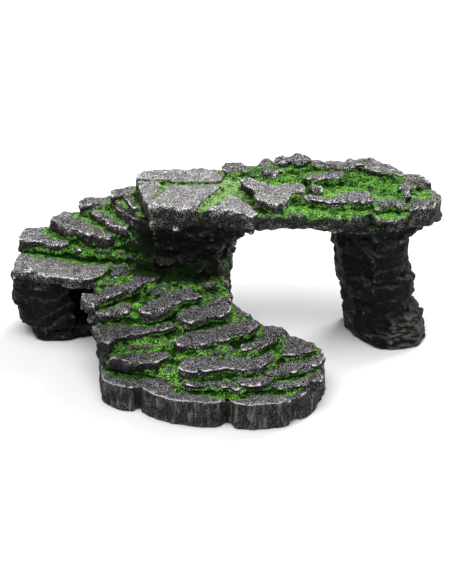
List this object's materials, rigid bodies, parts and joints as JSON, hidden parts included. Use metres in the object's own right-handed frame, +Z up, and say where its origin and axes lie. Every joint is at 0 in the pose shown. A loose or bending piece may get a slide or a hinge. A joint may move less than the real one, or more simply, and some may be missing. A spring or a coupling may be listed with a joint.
{
  "type": "cave ornament",
  "caption": "Stepped rock ramp and stairs rising to an oval mossy basking platform on piers, with an open arch and a cave underneath, for a fish or reptile tank.",
  "frame": {"origin": "middle of the footprint, on the ground", "axes": "+X along the length, from the landing towards the platform pillar; -Y towards the foot of the ramp; +Z up"},
  "size_m": [0.2152, 0.1462, 0.082],
  "materials": {
    "grey_stone_resin": "matte cast resin, dry-brushed pale grey over charcoal",
    "mossy_bed_resin": "matte cast resin, charcoal painted over with moss green",
    "foot_resin": "matte charcoal with pale upright streaks",
    "dark_pier_resin": "near-black, faintly glossy"
  },
  "bodies": {
    "root": {"basin_stone_rear": "grey_stone_resin", "basin_stone_small": "grey_stone_resin", "central_pier": "dark_pier_resin", "central_pier_head": "dark_pier_resin", "deck_bed": "mossy_bed_resin", "deck_slab_front": "grey_stone_resin", "deck_slab_left": "grey_stone_resin", "deck_slab_point": "grey_stone_resin", "deck_slab_rear": "grey_stone_resin", "foot_block_front": "foot_resin", "foot_block_left": "foot_resin", "foot_block_middle": "foot_resin", "foot_block_right": "foot_resin", "landing_slab": "grey_stone_resin", "left_pier": "dark_pier_resin", "left_pier_foot": "dark_pier_resin", "pillar_foot": "dark_pier_resin", "pillar_head": "dark_pier_resin", "pillar_shaft_lower": "dark_pier_resin", "pillar_shaft_upper": "dark_pier_resin", "platform_basin": "mossy_bed_resin", "platform_layer_lower": "dark_pier_resin", "platform_ledge_front": "mossy_bed_resin", "platform_ledge_long": "grey_stone_resin", "platform_slab_left": "grey_stone_resin", "ramp_bed": "mossy_bed_resin", "ramp_stone_2_left": "grey_stone_resin", "ramp_stone_2_right": "grey_stone_resin", "ramp_stone_3_left": "grey_stone_resin", "ramp_stone_3_right": "grey_stone_resin", "ramp_stone_4_right": "grey_stone_resin", "ramp_stone_4_wedge": "grey_stone_resin", "ramp_stone_5_left": "grey_stone_resin", "ramp_stone_5_right": "grey_stone_resin", "ramp_stone_6_left": "grey_stone_resin", "ramp_stone_6_right": "grey_stone_resin", "ramp_stone_7_left": "grey_stone_resin", "ramp_stone_7_middle": "grey_stone_resin", "ramp_stone_7_right": "grey_stone_resin", "ramp_stone_corner": "grey_stone_resin", "ramp_stone_top": "grey_stone_resin", "rim_peak": "grey_stone_resin", "rim_slab_rear_right": "grey_stone_resin", "rim_stone_front_right": "grey_stone_resin", "rim_stone_left": "grey_stone_resin", "rim_stone_rear": "grey_stone_resin", "rim_stone_rear_left": "grey_stone_resin", "rim_stone_right": "grey_stone_resin", "rim_stone_right_rear": "grey_stone_resin", "stair_base": "dark_pier_resin", "stair_bed": "mossy_bed_resin", "stair_ridge_upper": "grey_stone_resin", "stair_slab_1": "grey_stone_resin", "stair_slab_2": "grey_stone_resin", "stair_slab_3": "grey_stone_resin", "stair_slab_4": "grey_stone_resin", "stair_stone_low": "grey_stone_resin", "stair_stone_middle": "grey_stone_resin", "stair_stone_upper": "grey_stone_resin"}
  },
  "joints": []
}
